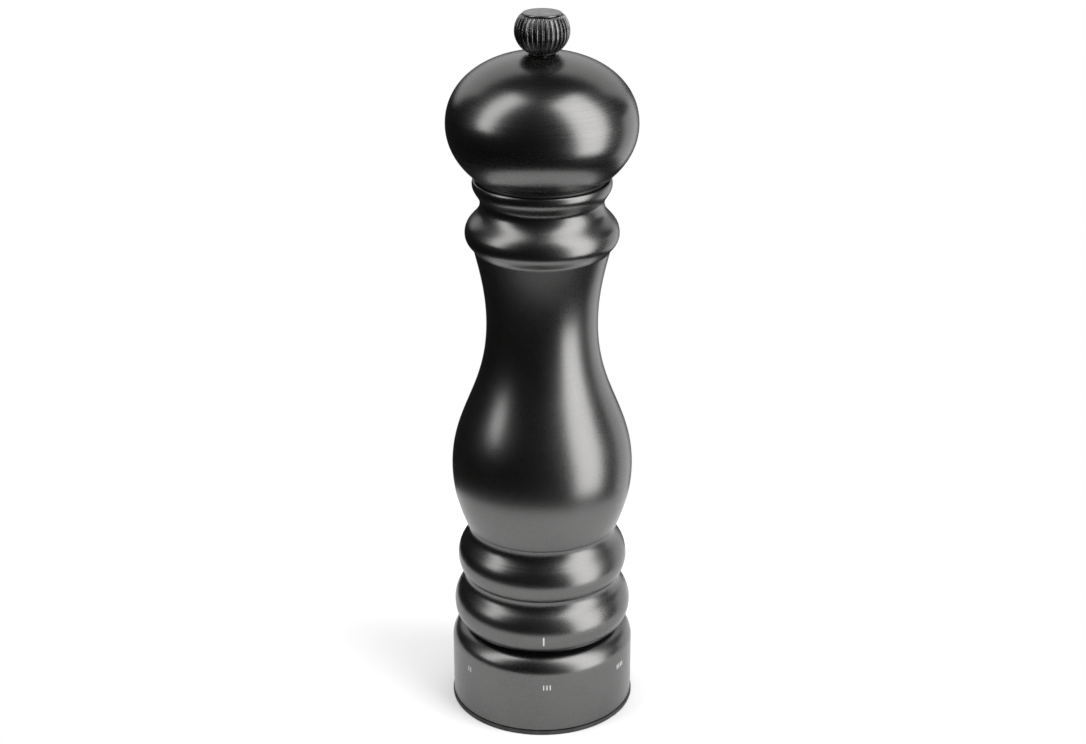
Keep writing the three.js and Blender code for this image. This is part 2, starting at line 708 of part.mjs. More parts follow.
const knob = group(
  piece('knob_washer', knobWasher(), blackPlastic),
  piece('knob_grip', knobGrip(), knobMetal),
  piece('knob_cap', knobCap(), knobMetal),
  piece('knob_nut', knobNut(), brass),
);

export default new THREE.Group().add(body, shaft, adjuster, head, knob);
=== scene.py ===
"""Looks of the pepper mill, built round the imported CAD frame. Outlines are in millimetres."""

import math

import bpy
import numpy as np
from mathutils import Matrix, Vector
from mathutils.geometry import tessellate_polygon


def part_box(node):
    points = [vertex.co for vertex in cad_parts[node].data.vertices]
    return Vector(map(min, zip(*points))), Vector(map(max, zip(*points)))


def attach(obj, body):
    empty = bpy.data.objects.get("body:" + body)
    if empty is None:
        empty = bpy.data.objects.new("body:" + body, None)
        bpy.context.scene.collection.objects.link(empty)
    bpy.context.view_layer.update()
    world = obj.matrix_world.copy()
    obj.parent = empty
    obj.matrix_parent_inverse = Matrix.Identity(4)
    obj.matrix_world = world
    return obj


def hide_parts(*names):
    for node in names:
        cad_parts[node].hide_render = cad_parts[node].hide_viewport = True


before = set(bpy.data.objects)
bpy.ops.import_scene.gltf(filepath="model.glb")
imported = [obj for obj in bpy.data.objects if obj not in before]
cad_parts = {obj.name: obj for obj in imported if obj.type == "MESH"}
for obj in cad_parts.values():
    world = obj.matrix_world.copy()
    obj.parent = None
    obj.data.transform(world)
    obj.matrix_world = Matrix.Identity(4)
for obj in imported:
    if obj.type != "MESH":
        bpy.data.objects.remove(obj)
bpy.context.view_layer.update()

MM = 0.001
FINE = 240  # facets round the large turned pieces
PLAIN = 96  # facets round small and hidden ones
PEG_FACETS = 32
FRONT = -90.0  # the angle of the mill's front, in degrees from +X
CLICK = 56.0  # degrees between two steps of the grind ring


# ---------- outlines: lists of (radius, height) in millimetres ----------


def low(node):
    """A node's lowest height in millimetres."""
    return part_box(node)[0].z / MM


def high(node):
    """A node's greatest height in millimetres."""
    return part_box(node)[1].z / MM


def reach(node):
    """How far a round node reaches from the axis, in millimetres."""
    return max(abs(v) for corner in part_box(node) for v in corner.xy) / MM


def arc(r, z, radius, start, end, steps):
    """An arc from one angle to another, in degrees counted from straight out."""
    angles = np.radians(np.linspace(start, end, steps + 1))
    return [(r + radius * math.cos(a), z + radius * math.sin(a)) for a in angles]


def bezier(start, leaving, arriving, end, steps):
    """A Bezier curve that leaves its start towards one point and comes to its end from another."""
    t = np.linspace(0, 1, steps + 1)[:, None]
    points = (
        (1 - t) ** 3 * np.array(start)
        + 3 * (1 - t) ** 2 * t * np.array(leaving)
        + 3 * (1 - t) * t**2 * np.array(arriving)
        + t**3 * np.array(end)
    )
    return [tuple(p) for p in points]


def flowing(points, spacing):
    """The natural cubic spline through the points, sampled about every spacing millimetres."""
    p = np.array(points, float)
    t = np.r_[0, np.cumsum(np.linalg.norm(np.diff(p, axis=0), axis=1))]
    h = np.diff(t)
    n = len(p)
    matrix = np.eye(n)
    rhs = np.zeros((n, 2))
    for i in range(1, n - 1):
        matrix[i, i - 1 : i + 2] = h[i - 1], 2 * (h[i - 1] + h[i]), h[i]
        rhs[i] = 6 * ((p[i + 1] - p[i]) / h[i] - (p[i] - p[i - 1]) / h[i - 1])
    bend = np.linalg.solve(matrix, rhs)
    found = []
    for s in np.linspace(0, t[-1], max(2, round(t[-1] / spacing)) + 1):
        i = min(int(np.searchsorted(t, s, side="right")) - 1, n - 2)
        a, b = t[i + 1] - s, s - t[i]
        found.append(
            (bend[i] * a**3 + bend[i + 1] * b**3) / (6 * h[i])
            + (p[i] / h[i] - bend[i] * h[i] / 6) * a
            + (p[i + 1] / h[i] - bend[i + 1] * h[i] / 6) * b
        )
    return [tuple(q) for q in found]


def eased(corners, radius):
    """A closed outline with each corner rounded. A corner may bring its own radius as a third
    number."""
    steps = 3
    straight = 0.05  # a bend of fewer radians stays as it is
    share = 0.45  # the most of a side that one rounding takes
    found = []
    for i, corner in enumerate(corners):
        here = Vector(corner[:2])
        size = corner[2] if len(corner) > 2 else radius
        before = Vector(corners[i - 1][:2]) - here
        after = Vector(corners[(i + 1) % len(corners)][:2]) - here
        turn = math.pi - before.angle(after, math.pi)
        if size <= 0 or turn < straight:
            found.append(tuple(here))
            continue
        cut = min(size * math.tan(turn / 2), share * before.length, share * after.length)
        a = here + before.normalized() * cut
        b = here + after.normalized() * cut
        for t in np.linspace(0, 1, steps + 1):
            found.append(tuple(a * (1 - t) ** 2 + here * 2 * t * (1 - t) + b * t * t))
    return found


# ---------- meshes ----------


def object_from(name, vertices, faces, sharp=40.0):
    """A smooth-shaded object, with edges of more than sharp degrees kept sharp."""
    mesh = bpy.data.meshes.new(name)
    mesh.from_pydata([tuple(v) for v in vertices], [], faces)
    mesh.validate()
    mesh.shade_smooth()
    mesh.set_sharp_from_angle(angle=math.radians(sharp))
    made = bpy.data.objects.new(name, mesh)
    bpy.context.scene.collection.objects.link(made)
    return made


def grid_faces(rows, columns, closed_rows):
    """Quads between neighbouring columns of a lathe grid, whose vertices go column by column."""
    faces = []
    last = rows if closed_rows else rows - 1
    for i in range(columns):
        j = (i + 1) % columns
        for k in range(last):
            m = (k + 1) % rows
            faces.append((i * rows + k, j * rows + k, j * rows + m, i * rows + m))
    return faces


def turned(name, outline, facets=FINE, shape=None, sharp=40.0):
    """Turns an outline round Z. One that starts and ends on the axis is capped there, any other
    closes on itself. shape(angle, radius, height) may return a changed radius."""
    points = np.array([p[:2] for p in outline], float)
    following = np.roll(points, -1, axis=0)
    area = np.sum(points[:, 0] * following[:, 1] - following[:, 0] * points[:, 1])
    if area < 0:
        points = points[::-1]
    solid = points[0, 0] < 1e-6
    poles = points[[0, -1], 1] if solid else ()
    ring = points[1:-1] if solid else points
    rows = len(ring)
    vertices = []
    for angle in np.arange(facets) * 2 * math.pi / facets:
        for r, z in ring:
            r = shape(angle, r, z) if shape else r
            vertices.append((r * math.cos(angle) * MM, r * math.sin(angle) * MM, z * MM))
    faces = grid_faces(rows, facets, not solid)
    if solid:
        bottom, top = len(vertices), len(vertices) + 1
        vertices += [(0, 0, poles[0] * MM), (0, 0, poles[1] * MM)]
        for i in range(facets):
            j = (i + 1) % facets
            faces.append((bottom, j * rows, i * rows))
            faces.append((top, i * rows + rows - 1, j * rows + rows - 1))
    return object_from(name, vertices, faces, sharp)


def show(piece, body, material, slot, *nodes):
    """Finishes a piece: it rides on a body, has one material and stands for the CAD nodes."""
    piece.data.materials.clear()
    piece.data.materials.append(material)
    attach(piece, body)
    if nodes:
        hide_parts(*nodes)


def circle(radius, count=PLAIN, x=0.0, y=0.0):
    """Points all the way round a circle."""
    angles = np.arange(count) * 2 * math.pi / count
    return [(x + radius * math.cos(a), y + radius * math.sin(a)) for a in angles]


def on_circle(radius, angles):
    """Points at the given angles in degrees."""
    turns = [math.radians(a) for a in angles]
    return [(radius * math.cos(turn), radius * math.sin(turn)) for turn in turns]


def sector(inner, outer, start, end, steps=60):
    """Outline of a part-ring between two angles in degrees, with eased corners."""
    outside = on_circle(outer, np.linspace(start, end, steps + 1))
    inside = on_circle(inner, np.linspace(end, start, steps + 1))
    return eased(outside + inside, radius=0.3)


def plate(name, loops, bottom, top, edge=0.12):
    """A flat plate with chamfered edges. The first loop is its outline and the others are holes."""
    vertices, faces, ends, first, above = [], [], [], [], []
    rows = [(edge, bottom), (0, bottom + edge), (0, top - edge), (edge, top)]
    for number, loop in enumerate(loops):
        points = [Vector(p) for p in loop]
        area = sum(a.x * b.y - b.x * a.y for a, b in zip(points, points[1:] + points[:1]))
        if (area > 0) == (number > 0):
            points.reverse()
        count, start = len(points), len(vertices)
        first += [start + i for i in range(count)]
        for inset, z in rows:
            for i, here in enumerate(points):
                along = (points[(i + 1) % count] - points[i - 1]).normalized()
                moved = here + Vector((-along.y, along.x)) * inset
                vertices.append((moved.x * MM, moved.y * MM, z * MM))
        for k in range(len(rows) - 1):
            for i in range(count):
                a, b = start + k * count + i, start + k * count + (i + 1) % count
                faces.append((a, b, b + count, a + count))
        last = start + (len(rows) - 1) * count
        ends.append([Vector(vertices[start + i]) for i in range(count)])
        above += [last + i for i in range(count)]
    for triangle in tessellate_polygon(ends):
        a, b, c = (Vector(vertices[above[i]]) for i in triangle)
        if (b - a).cross(c - a).z < 0:
            triangle = triangle[::-1]
        faces.append(tuple(above[i] for i in triangle))
        faces.append(tuple(first[i] for i in triangle[::-1]))
    return object_from(name, vertices, faces, sharp=30.0)


def block(name, length, width, bottom, top, out=0.0, angle=0.0):
    """A block of one length along X, moved out along X and then turned round Z."""
    x, y = length / 2, width / 2
    corners = [(out - x, -y), (out + x, -y), (out + x, y), (out - x, y)]
    piece = plate(name, [corners], bottom, top, edge=0.0)
    piece.data.transform(Matrix.Rotation(math.radians(angle), 4, "Z"))
    return piece


def peg(name, radius, bottom, top, out=0.0, angle=0.0):
    """A round peg at a distance from the axis."""
    piece = turned(name, [(0, bottom), (radius, bottom), (radius, top), (0, top)], PEG_FACETS)
    turn = Matrix.Rotation(math.radians(angle), 4, "Z")
    piece.data.transform(turn @ Matrix.Translation((out * MM, 0, 0)))
    return piece


def combine(piece, operation, *tools, sharp=30.0):
    """Takes tools from a piece, joins them to it, or keeps what they share with it."""
    for tool in tools:
        change = piece.modifiers.new("change", "BOOLEAN")
        change.operation = operation
        change.solver = "EXACT"
        change.object = tool
    bpy.context.view_layer.update()
    evaluated = piece.evaluated_get(bpy.context.evaluated_depsgraph_get())
    mesh = bpy.data.meshes.new_from_object(evaluated)
    piece.modifiers.clear()
    piece.data = mesh
    mesh.shade_smooth()
    mesh.set_sharp_from_angle(angle=math.radians(sharp))
    for tool in tools:
        bpy.data.objects.remove(tool)


def zigzag(value):
    """1 at whole numbers and 0 half way between them."""
    return abs(1 - 2 * (value % 1.0))


# ---------- materials ----------

USUAL = (0.3, 0.7)  # most of a noise's values lie between these


class Nodes:
    """A node tree, with short calls that add and join nodes."""

    def __init__(self, tree):
        self.tree = tree

    def put(self, socket, value):
        if isinstance(value, bpy.types.NodeSocket):
            self.tree.links.new(value, socket)
        else:
            socket.default_value = value

    def add(self, kind, output=0, settings=None, **inputs):
        """Adds a node. An input is named, with _ for a space, or numbered, as in _0."""
        node = self.tree.nodes.new("ShaderNode" + kind)
        for key, value in (settings or {}).items():
            setattr(node, key, value)
        for key, value in inputs.items():
            key = int(key[1:]) if key[0] == "_" else key.replace("_", " ")
            self.put(node.inputs[key], value)
        return node.outputs[output]

    def math(self, operation, a, b):
        return self.add("Math", settings={"operation": operation}, _0=a, _1=b)

    def span(self, value, least, most, between=USUAL):
        """A value taken from a range to least and most, and kept between them."""
        inputs = {"From_Min": between[0], "From_Max": between[1], "To_Min": least, "To_Max": most}
        return self.add("MapRange", Value=value, **inputs)


class Shader(Nodes):
    """A material and its node tree."""

    def __init__(self, name):
        self.material = bpy.data.materials.new(name)
        self.material.use_nodes = True
        super().__init__(self.material.node_tree)
        self.surface = self.tree.nodes["Principled BSDF"]

    def place(self):
        """The point on the piece, in millimetres."""
        coordinates = self.add("TexCoord", 3)
        return self.add("VectorMath", settings={"operation": "SCALE"}, _0=coordinates, Scale=1000.0)

    def noise(self, vector, scale, detail=3.0, roughness=0.6, w=None):
        """Noise in three dimensions, or in four if w is given."""
        inputs = {"Vector": vector, "Scale": scale, "Detail": detail, "Roughness": roughness}
        if w is not None:
            inputs["W"] = w
        settings = {"noise_dimensions": "3D" if w is None else "4D"}
        return self.add("TexNoise", settings=settings, **inputs)

    def colours(self, value, dark, light, between=USUAL):
        """A colour that goes from dark to light as the value goes through a range."""
        node = self.tree.nodes.new("ShaderNodeValToRGB")
        for element, position, colour in zip(node.color_ramp.elements, between, (dark, light)):
            element.position = position
            element.color = (*colour, 1.0)
        self.put(node.inputs["Fac"], value)
        return node.outputs["Color"]

    def bump(self, height, distance, normal=None):
        """Surface relief: distance is the height in millimetres that a value of 1 stands for."""
        inputs = {"Height": height, "Strength": 1.0, "Distance": distance * MM}
        if normal is not None:
            inputs["Normal"] = normal
        return self.add("Bump", **inputs)

    def finish(self, **inputs):
        """Sets the surface's inputs and hands back the material."""
        for key, value in inputs.items():
            self.put(self.surface.inputs[key.replace("_", " ")], value)
        return self.material


def grey(value, warmth=0.0):
    """A grey with a little more red and less blue where it is warm."""
    return (value * (1 + warmth), value, value * (1 - warmth))


def turning_lines(shader, place, rings_per_mm, drift):
    """Noise drawn out round the axis: fine rings that wander a little round the circle."""
    parts = shader.tree.nodes.new("ShaderNodeSeparateXYZ")
    shader.put(parts.inputs[0], place)
    flat = shader.add("CombineXYZ", X=parts.outputs["X"], Y=parts.outputs["Y"])
    radius = shader.add("VectorMath", 1, settings={"operation": "LENGTH"}, _0=flat)
    direction = shader.add("VectorMath", settings={"operation": "NORMALIZE"}, _0=flat)
    around = shader.add("VectorMath", settings={"operation": "SCALE"}, _0=direction, Scale=drift)
    height = shader.math("MULTIPLY", parts.outputs["Z"], rings_per_mm)
    up = shader.add("CombineXYZ", Z=height)
    vector = shader.add("VectorMath", settings={"operation": "ADD"}, _0=around, _1=up)
    w = shader.math("MULTIPLY", radius, rings_per_mm)
    return shader.noise(vector, 1.0, detail=4.0, roughness=0.65, w=w)


def carbon_metal(name, lines, grain):
    """Dark carbon-coated metal. lines and grain say how strong the turning lines and the fine
    blasted grain are."""
    shader = Shader(name)
    place = shader.place()
    rings = turning_lines(shader, place, rings_per_mm=2.6, drift=1.6)
    bands = turning_lines(shader, place, rings_per_mm=0.35, drift=0.7)
    sand = shader.noise(place, 4.2, detail=2.0, roughness=0.55)
    cloud = shader.noise(place, 0.045, roughness=0.5)
    base = shader.span(rings, -0.5 * lines, 0.5 * lines)
    speckle = shader.span(sand, -0.5 * grain, 0.5 * grain)
    tone = shader.math("ADD", shader.math("ADD", base, speckle), cloud)
    colour = shader.colours(tone, grey(0.11, 0.01), grey(0.15, 0.01), between=(0.0, 1.0))
    worn = shader.math("ADD", shader.math("MULTIPLY", rings, 0.12 * lines),
                       shader.math("MULTIPLY", sand, 0.14 * grain))
    roughness = shader.math("ADD", worn, shader.span(cloud, 0.19, 0.23))
    relief = shader.bump(rings, 0.0016 * lines)
    relief = shader.bump(bands, 0.003 * lines, relief)
    relief = shader.bump(sand, 0.0022 * grain, relief)
    tangent = shader.add("Tangent", settings={"direction_type": "RADIAL", "axis": "Z"})
    return shader.finish(Base_Color=colour, Metallic=1.0, Roughness=roughness, Normal=relief,
                         Anisotropic=0.35, Tangent=tangent)


def dark_knob_metal():
    """Near-black metal with a fine cast grain."""
    shader = Shader("knob_metal")
    place = shader.place()
    grain = shader.noise(place, 3.2, detail=4.0, roughness=0.65)
    cloud = shader.noise(place, 0.5, detail=2.0, roughness=0.5)
    colour = shader.colours(cloud, grey(0.1), grey(0.19))
    roughness = shader.span(grain, 0.2, 0.34)
    return shader.finish(Base_Color=colour, Metallic=1.0, Roughness=roughness,
                         Normal=shader.bump(grain, 0.03))


def plastic(name, tone):
    """Moulded plastic with a fine eroded texture."""
    shader = Shader(name)
    place = shader.place()
    erosion = shader.noise(place, 3.5, detail=4.0)
    cloud = shader.noise(place, 0.15, detail=2.0, roughness=0.5)
    colour = shader.colours(cloud, grey(tone * 0.85), grey(tone * 1.15))
    roughness = shader.span(erosion, 0.38, 0.52)
    return shader.finish(Base_Color=colour, Roughness=roughness, Normal=shader.bump(erosion, 0.006))


def rubber():
    """Black rubber with a dusty surface and a faint bloom."""
    shader = Shader("foot_rubber")
    place = shader.place()
    dust = shader.noise(place, 5.0, detail=4.0, roughness=0.7)
    bloom = shader.noise(place, 0.25, roughness=0.5)
    colour = shader.colours(bloom, grey(0.012), grey(0.026), between=(0.3, 0.75))
    roughness = shader.span(dust, 0.6, 0.8)
    return shader.finish(Base_Color=colour, Roughness=roughness, Normal=shader.bump(dust, 0.01))


def steel(name, tone, rough):
    """Bare or plated metal with machining lines round its axis and small scratches."""
    shader = Shader(name)
    place = shader.place()
    rings = turning_lines(shader, place, rings_per_mm=3.0, drift=1.2)
    scratch = shader.noise(place, 1.4, detail=5.0, roughness=0.75)
    colour = shader.colours(scratch, grey(tone * 0.88), grey(tone * 1.05))
    worn = shader.span(scratch, rough - 0.06, rough + 0.08, between=(0.3, 0.75))
    roughness = shader.math("ADD", worn, shader.math("MULTIPLY", rings, 0.06))
    relief = shader.bump(rings, 0.002)
    relief = shader.bump(scratch, 0.003, relief)
    return shader.finish(Base_Color=colour, Metallic=1.0, Roughness=roughness, Normal=relief)


def brass():
    """Turned brass with a light stain."""
    shader = Shader("brass")
    place = shader.place()
    rings = turning_lines(shader, place, rings_per_mm=3.0, drift=1.2)
    stain = shader.noise(place, 0.5, detail=4.0)
    colour = shader.colours(stain, (0.58, 0.40, 0.17), (0.76, 0.56, 0.27))
    roughness = shader.span(stain, 0.25, 0.38)
    return shader.finish(Base_Color=colour, Metallic=1.0, Roughness=roughness,
                         Normal=shader.bump(rings, 0.002))


def mark_paint():
    """Pale grey paint, a little speckled."""
    shader = Shader("mark_paint")
    place = shader.place()
    speck = shader.noise(place, 5.0)
    colour = shader.colours(speck, grey(0.36), grey(0.48), between=(0.35, 0.65))
    return shader.finish(Base_Color=colour, Roughness=0.5, Normal=shader.bump(speck, 0.004))


BRUSHED = carbon_metal("carbon_metal_brushed", lines=0.6, grain=0.35)
SATIN = carbon_metal("carbon_metal_satin", lines=0.22, grain=1.0)
KNOB = dark_knob_metal()
BLACK = plastic("black_plastic", 0.012)
GREY = plastic("grey_plastic", 0.035)
RUBBER = rubber()
HARD = steel("hard_steel", tone=0.28, rough=0.4)
BRIGHT = steel("bright_steel", tone=0.58, rough=0.26)
SPRING = steel("spring_steel", tone=0.42, rough=0.3)
BRASS = brass()
PAINT = mark_paint()

# ---------- the turned column ----------

LOWER_BEAD = (17.7, 33.4, 9.7)  # centre and radius of each bead's round side
UPPER_BEAD = (16.7, 49.5, 9.4)
# The column's widest and narrowest places, from the belly up: (radius, height).
BELLY_FOOT = (23.35, 61.05)
BELLY = (27.5, 80.0)
WAIST = (16.65, 126.5)
COLLAR_FOOT = (20.15, 149.2)
COLLAR = (22.7, 154.4)
THROAT = (18.2, 163.6)
LIP = (20.45, 169.4)


def beads_outside():
    """The two beads and the small step above each, from the bottom edge up to the belly."""
    bottom = low("body_shell")
    return (
        eased([(25.0, bottom, 0), (25.76, bottom, 0.25), (27.0, bottom + 3)], 0)[1:-1]
        + arc(*LOWER_BEAD, -31, 40, 60)
        + bezier((25.13, 39.64), (24.1, 40.86), (23.68, 41.7), (23.66, 43.2), 14)[1:]
        + [(23.66, 43.9), (23.72, 44.1), (24.0, 44.16)]
        + bezier((24.0, 44.16), (24.4, 44.16), (24.62, 44.3), (24.75, 44.65), 6)[1:]
        + arc(*UPPER_BEAD, -30, 36, 56)
        + bezier((24.35, 55.04), (23.29, 56.5), (22.56, 57.6), (22.5, 59.2), 16)[1:]
        + [(22.5, 60.3), (22.54, 60.52), (22.75, 60.6)]
        + bezier((22.75, 60.6), (23.0, 60.6), (23.2, 60.75), BELLY_FOOT, 6)[1:]
    )


def neck_outside():
    """The belly and the neck."""
    return (
        bezier(BELLY_FOOT, (25.0, 65.2), (BELLY[0], 71.5), BELLY, 30)[1:]
        + bezier(BELLY, (BELLY[0], 98), (WAIST[0], 104.5), WAIST, 70)[1:]
        + bezier(WAIST, (WAIST[0], 135), (18.4, 142.5), COLLAR_FOOT, 34)[1:]
    )


def collar_outside():
    """The collar, the throat above it and the lip at the top."""
    top = high("body_shell")
    return (
        bezier(COLLAR_FOOT, (20.5, 150.6), (COLLAR[0], 151.4), COLLAR, 24)[1:]
        + bezier(COLLAR, (COLLAR[0], 159), (THROAT[0], 159.6), THROAT, 40)[1:]
        + bezier(THROAT, (THROAT[0], 165.8), (LIP[0], 167), LIP, 26)[1:]
        + bezier(LIP, (LIP[0], 170.1), (20.3, top), (19.9, top), 8)[1:]
    )


BODY_INSIDE = [
    (19.2, 170.7), (19.2, 168.6), (17.1, 164.8), (17.1, 162.6), (21.2, 154), (18.7, 148.4),
    (16.2, 135), (15.64, 126.5), (16.3, 117), (20.5, 102.5), (25.4, 89), (26.4, 80), (25.2, 71),
    (21.3, 60.6), (21.3, 58), (24.9, 50), (22.6, 43.6), (26.1, 34), (24.9, 28),
]


def body_skin():
    outline = beads_outside() + neck_outside() + collar_outside() + BODY_INSIDE
    piece = turned("body_skin", outline)
    show(piece, "body", SATIN, "carbon_metal", "body_shell")


SHOULDER = (22.0, 20.2, 6.2)  # centre and radius of the grind ring's round shoulder


def ring_skin():
    bottom, top, radius = low("adjuster_shell"), high("adjuster_shell"), reach("adjuster_shell")
    r, middle, shoulder = SHOULDER
    skin = 1
    outline = (
        eased([(radius - skin, bottom, 0), (radius, bottom, 0.3), (radius, bottom + 4, 0)], 0)[:-1]
        + arc(r, middle, shoulder, 0, 78, 48)
        + [(23.13, top - 0.03), (23.02, top - 0.1), (22.95, top - 0.25)]
        + arc(r, middle, shoulder - skin, 79, 0, 24)
    )
    show(turned("ring_skin", outline), "ring", SATIN, "carbon_metal", "adjuster_shell")


def foot():
    """The rubber ring, with two shallow grooves in its underside."""
    radius, top = reach("foot_ring"), 1.2
    outline = eased([
        (24.8, 0, 0.2), (25.6, 0, 0.1), (25.8, 0.25, 0.1), (26.3, 0.25, 0.1), (26.5, 0, 0.1),
        (27.0, 0, 0.1), (27.2, 0.25, 0.1), (27.7, 0.25, 0.1), (27.9, 0, 0.1), (radius, 0, 0.35),
        (radius, top, 0.3), (26.2, top, 0.1), (26.2, 3.0, 0.2), (25.4, 3.0, 0.2), (25.4, top, 0.1),
        (24.8, top, 0.2),
    ], 0.2)
    show(turned("foot_moulding", outline), "ring", RUBBER, "foot_rubber", "foot_ring")


# ---------- head ----------

HEAD_MIDDLE, HEAD_RADIUS = 187.0, 27.85  # height of the widest place, and radius there
HEAD_RISE, HEAD_DROP = 20.6, 21.7  # from there up to the top, and down to where it would close
HEAD_POWER = 2.12  # 2 is an ellipse, and more is squarer; the lower half is an ellipse
HEAD_SKIN = 1.0


def head_curve(inset, first, last, steps):
    """The head's outline moved in by inset, between two heights, from the lower one up."""
    points = []
    radius, rise, drop = HEAD_RADIUS - inset, HEAD_RISE - inset, HEAD_DROP - inset
    low_end = -math.asin(min(1, (HEAD_MIDDLE - first) / drop))
    high_end = math.asin(min(1, ((last - HEAD_MIDDLE) / rise) ** (HEAD_POWER / 2)))
    for t in np.linspace(low_end, high_end, steps + 1):
        power = 2.0 if t < 0 else HEAD_POWER
        size = drop if t < 0 else rise
        r = radius * math.cos(t) ** (2 / power)
        z = HEAD_MIDDLE + math.copysign(size * abs(math.sin(t)) ** (2 / power), t)
        points.append((r, z))
    return points


def head_skin():
    bottom, flat = low("head_shell"), high("head_shell")
    outside = head_curve(0, bottom + 0.35, flat - 0.01, 120)
    rim = outside[0]
    lip = [(19.2, bottom), (19.5, bottom), (rim[0] - 0.2, bottom + 0.08)]
    inside = head_curve(HEAD_SKIN, bottom + 0.2, flat - HEAD_SKIN, 30)
    hole = [(3.4, flat), (3.2, flat - 0.15), (3.2, flat - HEAD_SKIN)]
    outline = lip + outside + hole + inside[::-1]
    show(turned("head_skin", outline), "head", BRUSHED, "carbon_metal", "head_shell")


def mouth():
    """The black ring, with a skirt down into the body and a shallow groove in its top."""
    top, seat, skirt = high("mouth_ring"), 168.8, 160
    outline = eased([
        (13.8, seat), (15.6, seat, 0), (15.6, skirt), (16.7, skirt), (16.7, seat), (18.9, seat),
        (18.9, top, 0.5), (17.4, top, 0.15), (17.1, top - 0.25, 0.1), (16.6, top - 0.25, 0.1),
        (16.3, top, 0.15), (13.8, top, 0.4),
    ], 0.2)
    show(turned("mouth_moulding", outline), "body", BLACK, "black_plastic", "mouth_ring")


# ---------- knob ----------

RIBS = 32
RIB_DEPTH = 0.62
GROOVE_SHARE = 0.62  # how much of the way from rib to rib its groove takes
RIBS_FROM, RIBS_TO = 208.3, 218.5  # the heights between which the ribs run
KNOB_BORE = 5.0  # inside this radius the knob has no ribs
KNOB_WIDEST = (7.95, 213.7)
KNURLS = 40


def ribbed(angle, r, z):
    """Flat-backed ribs with narrow round grooves between them, running out at both ends."""
    if r < KNOB_BORE:
        return r
    across = zigzag(angle * RIBS / (2 * math.pi))
    groove = max(0.0, 1 - (across / GROOVE_SHARE) ** 2) ** 0.8
    fade_in, fade_out = (z - RIBS_FROM) / 0.9, (RIBS_TO - z) / 0.8
    fade = min(1.0, max(0.0, fade_in), max(0.0, fade_out)) ** 0.5
    return r - RIB_DEPTH * fade * groove


def knob_ribs():
    bottom = low("knob_grip")
    side = bezier((4.9, bottom + 0.05), (6.3, 209.2), (KNOB_WIDEST[0], 211.3), KNOB_WIDEST, 30)
    side += bezier(KNOB_WIDEST, (KNOB_WIDEST[0], 215.6), (7.3, 217.5), (6.05, 218.5), 26)[1:]
    outline = [(4.5, bottom), (4.8, bottom)] + side
    outline += [(5.9, 218.55), (5.8, 218.45), (5.75, 218.2), (3.3, 218.2)]
    outline += [(3.3, 215.9), (4.5, 215.9)]
    piece = turned("knob_ribs", outline, RIBS * 14, ribbed, sharp=60)
    show(piece, "knob", KNOB, "knob_metal", "knob_grip")


def knob_disc():
    top = high("knob_cap")
    outline = [(0, 216.5), (3.0, 216.5), (3.0, 218.6), (5.2, 218.6), (5.5, 218.7)]
    outline += bezier((5.6, 218.8), (5.62, 219.0), (5.4, 219.12), (5.0, 219.17), 8)
    outline += bezier((5.0, 219.17), (3.4, 219.3), (1.5, top), (0, top), 10)[1:]
    show(turned("knob_disc", outline, PLAIN), "knob", KNOB, "knob_metal", "knob_cap")


def washer_disc():
    bottom, top = low("knob_washer"), high("knob_washer")
    outline = eased([(2.9, bottom), (3.9, bottom), (3.9, top), (2.9, top)], 0.08)
    piece = turned("knob_washer_disc", outline, PLAIN)
    show(piece, "washer", BLACK, "black_plastic", "knob_washer")


def knurled(angle, r, z):
    """Fine straight knurls on the insert's outside."""
    depth = 0.18 if r > 4.1 else 0.0
    return r - depth * (1 - zigzag(angle * KNURLS / (2 * math.pi)))


def knob_insert():
    bottom, top = low("knob_nut"), high("knob_nut")
    outline = [(2.65, bottom + 0.4), (3.0, bottom), (3.9, bottom), (4.2, bottom + 0.3),
               (4.2, bottom + 2.8), (3.8, bottom + 3.0), (3.8, bottom + 3.8), (4.2, bottom + 4.0),
               (4.2, top - 0.3), (3.9, top), (2.65, top)]
    piece = turned("knob_insert", outline, KNURLS * 6, knurled, sharp=20)
    show(piece, "knob", BRASS, "brass", "knob_nut")


# ---------- mechanism ----------

ARM_ANGLES = (90, 210, 330)
HOUSING_SCREW_CIRCLE, HOUSING_SCREW_ANGLES = 18.05, (30, 150, 270)
DRIVE_SCREW_CIRCLE = 8.4  # at the angles of the arms
GUIDE_SCREW_REACH = 11.9  # to the right and to the left
GUIDE_SCREW_HOLE = 0.95
# Each screw's head radius, head height and shank radius.
HOUSING_SCREW = (2.0, 2.1, 1.3)
GUIDE_SCREW = (1.5, 1.2, 0.65)
DRIVE_SCREW = (1.8, 1.2, 1.0)
# The two threads, and the height between two rows of vertices along each.
LIFT_LEAD, LIFT_CREST, LIFT_ROOT, LIFT_ROW = 1.8, 24.0, 23.0, 0.15
ROD_LEAD, ROD_CREST, ROD_ROOT, ROD_ROW = 0.8, 2.5, 2.1, 0.08
OPENING_LAND, OPENING_WIDE = 10.2, 12.6  # radii of the housing's opening
SQUARE_HALF, SQUARE_CORNER = 3.0, 4.1  # the shaft's half width, and the reach of its eased corners
ROD_THREAD_FROM = 205.2
SPRING_RADIUS, SPRING_WIRE, SPRING_TURNS, SPRING_TOP = 5.5, 0.5, 2.5, 25.6
CONE_RISE = 0.56  # how far the cone climbs at the finest step of the grind ring
TEETH = 12
TEETH_FROM = 8  # the height of their lower ends
DEEP_TEETH_FROM, DEEP_TEETH_FULL = 11.5, 13.5  # heights between which the deep ones take over
RING_BORE, RING_THREAD_BORE = 22.5, 23.3
CLICKS_FROM, CLICKS_TO, CLICK_RADIUS = 12.0, 20.0, 1.1


def pegs(name, radius, bottom, top, out, angles):
    return [peg(name, radius, bottom, top, out, angle) for angle in angles]


